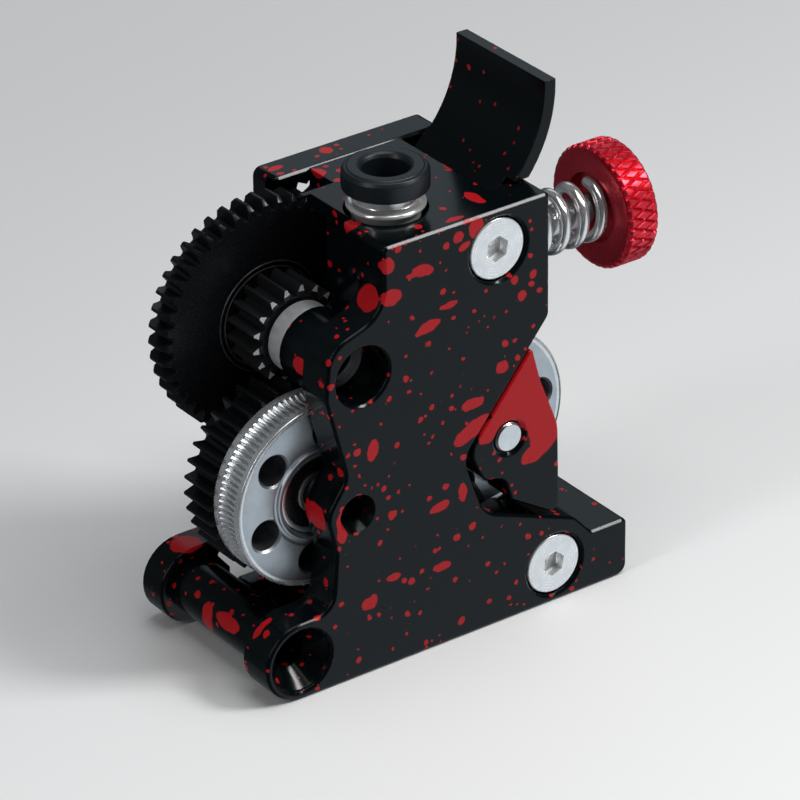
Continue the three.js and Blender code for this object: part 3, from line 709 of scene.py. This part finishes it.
def pin(name, body, material="pin_steel"):
    """Ground pin with chamfered ends and a shallow centre mark in each."""
    length = length_mm(name, 1)
    mark_r, mark_depth, chamfer = 0.5, 0.06, 0.22
    profile = rounded([
        (0, mark_depth), (mark_r, 0.0), (M3_R - chamfer, 0), (M3_R, chamfer), (M3_R, length - chamfer),
        (M3_R - chamfer, length), (mark_r, length), (0, length - mark_depth),
    ], 0.06, 3, closed=False)
    make(name + "_ground", *lathe(profile, "Y", 64), front_of(name), body, name, material, "bright_steel")


# The drive shaft takes the dark ring steel: painted shade deep in the drive wheel's hub.
pin("drive_shaft", "housing", "ring_steel")
pin("compound_shaft", "compound_gear")
pin("idler_pin", "arm")

# ---------------------------------------------------------------------------------------------
# Screws
# ---------------------------------------------------------------------------------------------

ROD_SIDES = 40
TIP_LENGTH = 0.3
TIP_R = 1.2


def threaded(axis, start, end):
    """(points, faces) of an M3 thread along an axis, from start to end. It fades out at both ends."""
    pitch, depth, crest = 0.5, 0.24, 1.25
    rows_per_turn = 6
    rows = int((end - start) / pitch * rows_per_turn)

    def point(i, j):
        along = start + (end - start) * j / rows
        phase = (along / pitch - i / ROD_SIDES) % 1.0
        wave = abs(phase - 0.5) * 2
        fade = min(1, (along - start) / pitch, (end - along) / pitch)
        radius = M3_R - depth * (1 - min(1, wave * crest)) * max(0, fade)
        return place(axis, radius, i * TAU / ROD_SIDES, along)

    return grid(ROD_SIDES, rows + 1, point, False)


def countersunk(name):
    """Countersunk screw with a hexagon socket, whose floor dips a little, and a threaded shank."""
    length = length_mm(name, 1)
    sides = 120
    depth = 1.0
    socket_r = 1.12
    corner_r = 2.2 / math.sqrt(3)
    turned = 0.35
    head_r, shank_from = 3.0, 1.75
    head = rounded([(M3_R, shank_from), (2.95, 0.3), (head_r, 0.12), (2.86, 0.0), (M3_R, 0.0)], 0.08, 3,
                   closed=False)
    # Radius, distance along the screw, and 1 where the row is a hexagon instead of a circle
    rows = [(r, y, 0.0) for r, y in head]
    rows += [(socket_r, 0.01, 1.0), (socket_r, depth, 1.0), (1.06, depth + 0.02, 1.0)]
    rows += [(0.3, depth + 0.03, 0.0), (0.0, depth + 0.2, 0.0)]

    def point(i, j):
        r, y, hexed = rows[j]
        angle = i * TAU / sides
        from_flat = (angle % (TAU / 6)) - TAU / 12
        hexagon = corner_r * math.cos(TAU / 12) / math.cos(from_flat)
        return place("Y", r + hexed * (r / socket_r) * (hexagon - socket_r), angle + turned, y)

    top = grid(sides, len(rows), point, False)
    tip_from = length - TIP_LENGTH
    thread = threaded("Y", shank_from, tip_from)
    tip = lathe([(M3_R, tip_from), (TIP_R, length), (0, length)], sides=ROD_SIDES)
    make(name + "_countersunk", *join(top, thread, tip), front_of(name), "housing", name, "screw_steel",
         "bright_steel", 28)


countersunk("upper_screw")
countersunk("lower_screw")

# ---------------------------------------------------------------------------------------------
# Tension screw, spring and knob
# ---------------------------------------------------------------------------------------------


def tension_screw():
    """Rod with a smooth ground shank, threaded only at the end that screws into the body."""
    name = "tension_screw"
    length = length_mm(name, 0)
    thread_end = 7.0
    neck_r, neck_end = 1.35, thread_end + 0.9
    slope = 0.2
    thread = threaded("X", TIP_LENGTH, thread_end)
    tip = lathe([(0, 0), (TIP_R, 0), (M3_R, TIP_LENGTH)], "X", ROD_SIDES)
    shank = lathe([
        (M3_R, thread_end), (neck_r, thread_end + slope), (neck_r, thread_end + 0.7), (M3_R, neck_end),
        (M3_R, length - TIP_LENGTH), (TIP_R, length), (0, length),
    ], "X", ROD_SIDES)
    make(name + "_rod", *join(thread, tip, shank), left_of(name), "knob", name, "rod_steel",
         "bright_steel", 28)


def coil_spring():
    """Round wire, wound from a closed coil at the arm to an open end at the knob.

    The spring moves with the knob, so it starts clear of the arm, by the room it needs at the inner limit.
    """
    name = "tension_spring"
    room = 0.35
    at = Vector((low(name, 0) + room * MM, middle(name).y, middle(name).z))
    length = length_mm(name, 0) - room
    wire_r = 0.55
    coil_r = 3.1 - wire_r
    closed_pitch = 1.14
    turns = 5.5
    open_turns = turns - 1
    open_length = length - 2 * wire_r - closed_pitch
    steps_per_turn, ring = 56, 16
    steps = int(turns * steps_per_turn)
    first_angle = math.radians(75) + turns * TAU

    def centre(t):
        if t < 1:
            along = closed_pitch * t
        else:
            along = closed_pitch + open_length * (t - 1) / open_turns
        angle = first_angle - t * TAU
        return Vector((wire_r + along, coil_r * math.cos(angle), coil_r * math.sin(angle)))

    points, faces = [], []
    for s in range(steps + 1):
        t = turns * s / steps
        here = centre(t)
        along = (centre(min(turns, t + 0.01)) - centre(max(0, t - 0.01))).normalized()
        out = Vector((0, here.y, here.z)).normalized()
        side = along.cross(out).normalized()
        out = side.cross(along).normalized()
        radius = wire_r if 0 < s < steps else wire_r - 0.1
        for k in range(ring):
            a = k * TAU / ring
            points.append(tuple(here + out * (radius * math.cos(a)) + side * (radius * math.sin(a))))
    for s in range(steps):
        for k in range(ring):
            n = (k + 1) % ring
            faces.append((s * ring + k, (s + 1) * ring + k, (s + 1) * ring + n, s * ring + n))
    faces.append(tuple(range(ring)))
    faces.append(tuple(steps * ring + k for k in reversed(range(ring))))
    piece = make(name + "_coil", points, faces, at, "spring_seat", name, "polished_steel", "bright_steel", 50)
    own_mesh(piece)


def knurled_knob():
    """Thumb knob with a diamond knurl, chamfered rims and a recess for the spring."""
    name = "thumb_knob"
    width, radius = 3.5, 6.0
    bore, recess_r, recess = 1.55, 3.4, 0.8
    flat_r = radius - 0.5
    starts = 37
    columns = starts * 14
    diamond_length, knurl_depth, crest = 2.5, 0.34, 2.8
    chamfer, chamfer_slope = 0.35, 0.9
    knurl_from, knurl_to, knurl_rows = 0.16, width - 0.16, 56
    front = rounded([(bore, recess), (recess_r, recess), (recess_r, 0.0), (flat_r, 0.0)], 0.1, 3,
                    closed=False)
    front = front[:-1] + [(radius - 0.6, 0.0), front[-1]]
    back = rounded([(flat_r, width), (2.6, width), (2.4, width - 0.25), (bore, width - 0.25)], 0.1, 3,
                   closed=False)
    rows = len(front) + knurl_rows + len(back)

    def point(i, j):
        angle = i * TAU / columns
        if j < len(front):
            return place("X", front[j][0], angle, front[j][1])
        if j >= len(front) + knurl_rows:
            r, x = back[j - len(front) - knurl_rows]
            return place("X", r, angle, x)
        t = (j - len(front)) / (knurl_rows - 1)
        x = knurl_from + t * (knurl_to - knurl_from)
        around = angle * starts / TAU
        shift = (x - width / 2) / diamond_length
        first = 1 - abs(((around + shift) % 1.0) - 0.5) * 2
        second = 1 - abs(((around - shift) % 1.0) - 0.5) * 2
        height = min(1.0, min(first, second) * crest)
        edge = min(x, width - x)
        limit = radius - max(0.0, chamfer - edge) * chamfer_slope
        return place("X", min(limit, radius - knurl_depth * (1 - height)), angle, x)

    make(name + "_knurled", *grid(columns, rows, point, True), left_of(name), "knob", name, "red_anodised",
         "red_anodised", 30)


tension_screw()
coil_spring()
knurled_knob()

# ---------------------------------------------------------------------------------------------
# Collet
# ---------------------------------------------------------------------------------------------

# Profiles of the collet's turned pieces, as radius and height above the housing's underside
COLLET_BODY = [
    (2.85, 38.0), (2.1, 38.0), (2.1, 36.3), (3.15, 36.3), (3.15, 42.9), (3.65, 43.0), (3.65, 43.3),
    (3.4, 43.5), (2.95, 43.65), (2.95, 44.5), (2.8, 44.5),
]
COLLET_CAP = [
    (2.15, 41.2), (2.7, 41.2), (2.7, 45.6), (3.2, 45.6), (3.2, 44.7), (3.85, 44.7), (4.0, 44.85),
    (4.0, 46.36), (3.76, 46.72), (3.5, 46.78), (3.42, 46.86), (2.62, 46.86), (2.35, 46.72), (2.15, 46.4),
]
COLLET_JAWS = [(2.05, 40.0), (2.6, 40.0), (2.75, 40.3), (2.6, 41.1), (2.05, 41.1)]


def collet():
    """The metal body, the cap that is pressed to let the tube go, and the jaws under it."""
    at = Vector((middle("collet_body").x, middle("collet_body").y, 0))
    body = lathe(rounded(COLLET_BODY, 0.14, 4), "Z", 128)
    make("collet_body_turned", *body, at, "housing", "collet_body", "collet_steel", "bright_steel")
    cap = lathe(rounded(COLLET_CAP, 0.07, 4), "Z", 128)
    make("collet_cap_moulded", *cap, at, "collet_button", "collet_cap", "dark_plastic", "dark_plastic")
    jaws = lathe(rounded(COLLET_JAWS, 0.06, 2), "Z", 72)
    make("collet_jaws_ring", *jaws, at, "collet_button", "collet_jaws", "bearing_steel", "satin_steel")


collet()

# ---------------------------------------------------------------------------------------------
# Stage, light and camera
# ---------------------------------------------------------------------------------------------


def floor():
    """A wide floor just under the object, painted paler towards the viewer and darker at the back as a
    painted light falloff. Glossy surfaces don't mirror it.
    """
    mesh = bpy.data.meshes.new("floor")
    half, below = 3.0, 0.00003
    corners = [(-half, -half, 0), (half, -half, 0), (half, half, 0), (-half, half, 0)]
    mesh.from_pydata(corners, [], [(0, 1, 2, 3)])
    piece = bpy.data.objects.new("floor", mesh)
    piece.location.z = -below
    bpy.context.scene.collection.objects.link(piece)
    s = Shader("floor_painted_falloff")
    cloud = s.noise(0.004, 2)["Fac"]
    fade_mm = 130
    # Painted light falloff: dark at the back, pale at the front, with a little random tone added.
    painted_falloff_and_tone = s.ramp(s.xyz(s.mm)[1], fade_mm, -fade_mm, 0, 1, smooth=True)
    painted_falloff_and_tone = s.math("ADD", painted_falloff_and_tone, s.ramp(cloud, 0.3, 0.7, -0.05, 0.05))
    s.set(Base_Color=s.mix(painted_falloff_and_tone, (0.64, 0.64, 0.64, 1), (0.94, 0.94, 0.94, 1)))
    s.set(Roughness=s.ramp(cloud, 0.3, 0.7, 0.6, 0.7))
    mesh.materials.append(s.material)
    piece.visible_glossy = False


def softbox(name, direction, distance, width, height, power, colour=(1, 1, 1)):
    """An area light that looks at the object from a direction."""
    target = (0, 0, 0.025)
    light = bpy.data.lights.new(name, "AREA")
    light.shape = "RECTANGLE"
    light.size, light.size_y = width, height
    light.energy = power
    light.color = colour
    lamp = bpy.data.objects.new(name, light)
    bpy.context.scene.collection.objects.link(lamp)
    away = Vector(direction).normalized()
    lamp.location = Vector(target) + away * distance
    lamp.rotation_euler = (-away).to_track_quat("-Z", "Y").to_euler()


WORLD_BASE = 0.035
WORLD_TINT = (0.84, 0.93, 1.0, 1)
# Soft panels painted on the world: direction, cosines of the outer and inner edge, brightness.
# The front faces mirror the first, which stands in front, to the right and low.
PANELS = [
    ((0.51, -0.71, -0.48), 0.55, 0.86, 0.72),
    ((-0.55, 0.66, -0.42), 0.5, 0.95, 0.05),
    ((-0.48, 0.71, 0.51), 0.7, 0.95, 0.08),
    ((0.1, -0.1, -1.0), 0.0, 0.9, 0.10),
]


def world():
    """A dark studio with soft pale panels."""
    made = bpy.data.worlds.new("studio")
    made.use_nodes = True
    tree = made.node_tree
    direction = tree.nodes.new("ShaderNodeTexCoord").outputs["Generated"]
    total = WORLD_BASE
    for towards, outer, inner, level in PANELS:
        facing = tree.nodes.new("ShaderNodeVectorMath")
        facing.operation = "DOT_PRODUCT"
        tree.links.new(direction, facing.inputs[0])
        facing.inputs[1].default_value = Vector(towards).normalized()
        edge = tree.nodes.new("ShaderNodeMapRange")
        edge.interpolation_type = "SMOOTHSTEP"
        tree.links.new(facing.outputs["Value"], edge.inputs["Value"])
        for socket, value in zip(edge.inputs[1:5], (outer, inner, 0.0, level)):
            socket.default_value = value
        added = tree.nodes.new("ShaderNodeMath")
        for socket, value in zip(added.inputs, (total, edge.outputs[0])):
            if isinstance(value, float):
                socket.default_value = value
            else:
                tree.links.new(value, socket)
        total = added.outputs[0]
    background = tree.nodes["Background"]
    background.inputs["Color"].default_value = WORLD_TINT
    tree.links.new(total, background.inputs["Strength"])
    bpy.context.scene.world = made


def camera():
    """Stands to the left of the front and above, where a camera fitted to the photo stands."""
    azimuth, elevation, roll = math.radians(35.717), math.radians(28.792), math.radians(0.739)
    distance = 0.4673
    target = Vector((-0.008479, -0.0102, 0.027083))
    back = Vector((-math.sin(azimuth) * math.cos(elevation), -math.cos(azimuth) * math.cos(elevation),
                   math.sin(elevation)))
    right = Vector((math.cos(azimuth), -math.sin(azimuth), 0))
    up = back.cross(right)
    rolled_right = right * math.cos(roll) - up * math.sin(roll)
    rolled_up = right * math.sin(roll) + up * math.cos(roll)
    data = bpy.data.cameras.new("camera")
    sensor_width_mm, focal_length_mm = 36, 236.34
    data.sensor_width = sensor_width_mm
    data.lens = focal_length_mm
    data.clip_start, data.clip_end = 0.01, 20
    lens = bpy.data.objects.new("camera", data)
    axes = Matrix((rolled_right, rolled_up, back)).transposed().to_4x4()
    lens.matrix_world = Matrix.Translation(target + back * distance) @ axes
    bpy.context.scene.collection.objects.link(lens)
    bpy.context.scene.camera = lens


floor()
world()
softbox("key", (0.51, -0.48, 0.71), 0.6, 0.15, 0.15, 2.0)
softbox("back", (0.51, 0.71, 0.46), 0.9, 0.7, 0.35, 0.5, (0.78, 0.9, 1.0))
softbox("left", (-1.0, -0.1, 0.6), 0.6, 0.1, 0.5, 0.8)
softbox("overhead", (0.1, -0.15, 1.0), 0.8, 0.6, 0.6, 3.4)
camera()
bpy.context.scene.view_settings.view_transform = "Standard"
